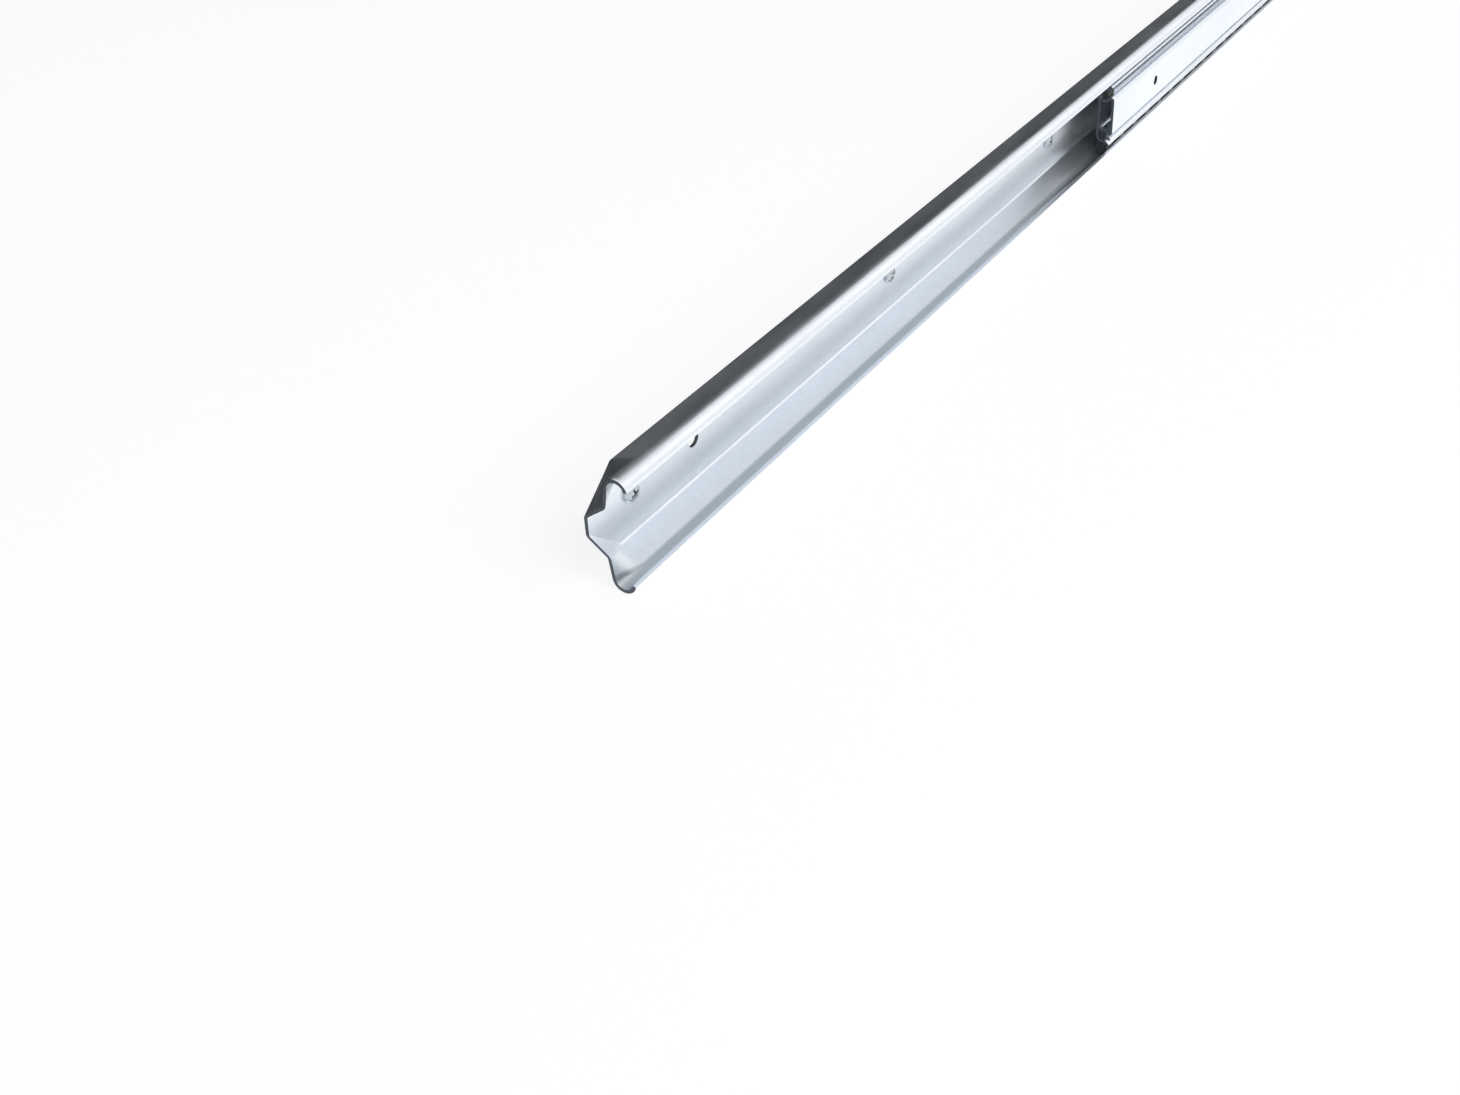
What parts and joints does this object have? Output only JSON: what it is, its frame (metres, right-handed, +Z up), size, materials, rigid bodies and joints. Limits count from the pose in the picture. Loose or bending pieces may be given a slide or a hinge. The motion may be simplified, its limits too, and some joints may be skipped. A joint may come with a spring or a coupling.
{
  "type": "drawer slide",
  "caption": "Full-extension ball-bearing drawer slide: nested outer, intermediate and inner rails of rolled sheet, with ball cages, end stops and pan-head screws.",
  "frame": {"origin": "on the cabinet face of the outer rail, at the middle of its length and height", "axes": "+X from the cabinet face towards the drawer, +Y along the slide in the direction it opens, +Z up"},
  "size_m": [0.0293, 1.35, 0.049],
  "materials": {
    "zinc_steel": "bright zinc plate on rolled sheet, satin",
    "cage_steel": "zinc-plated strip",
    "ball_steel": "polished bearing balls with a film of grease",
    "black_nylon": "moulded black nylon",
    "screw_steel": "zinc-plated machine screw"
  },
  "bodies": {
    "outer": {"outer_rail": "zinc_steel", "fixing_screws": "screw_steel", "outer_upper_front_stop": "black_nylon", "outer_lower_front_stop": "black_nylon"},
    "outer_cage": {"outer_upper_cage": "cage_steel", "outer_lower_cage": "cage_steel", "outer_upper_balls": "ball_steel", "outer_lower_balls": "ball_steel"},
    "intermediate": {"intermediate_rail": "zinc_steel", "intermediate_upper_rear_stop": "black_nylon", "intermediate_lower_rear_stop": "black_nylon", "intermediate_upper_front_stop": "black_nylon", "intermediate_lower_front_stop": "black_nylon"},
    "inner_cage": {"inner_upper_cage": "cage_steel", "inner_lower_cage": "cage_steel", "inner_upper_balls": "ball_steel", "inner_lower_balls": "ball_steel"},
    "inner": {"inner_rail": "zinc_steel", "inner_upper_rear_stop": "black_nylon", "inner_lower_rear_stop": "black_nylon"}
  },
  "joints": [
    {"name": "intermediate_slide", "type": "slide", "parent": "outer", "child": "intermediate", "axis": [0, 1, 0], "range_m": [-0.45, 0]},
    {"name": "outer_cage_slide", "type": "slide", "parent": "outer", "child": "outer_cage", "axis": [0, 1, 0], "range_m": [-0.225, 0]},
    {"name": "inner_slide", "type": "slide", "parent": "intermediate", "child": "inner", "axis": [0, 1, 0], "range_m": [0, 0.45]},
    {"name": "inner_cage_slide", "type": "slide", "parent": "intermediate", "child": "inner_cage", "axis": [0, 1, 0], "range_m": [0, 0.225]}
  ],
  "couplings": [
    {"joint": "outer_cage_slide", "follows": "intermediate_slide", "ratio": 0.5},
    {"joint": "inner_cage_slide", "follows": "inner_slide", "ratio": 0.5}
  ]
}
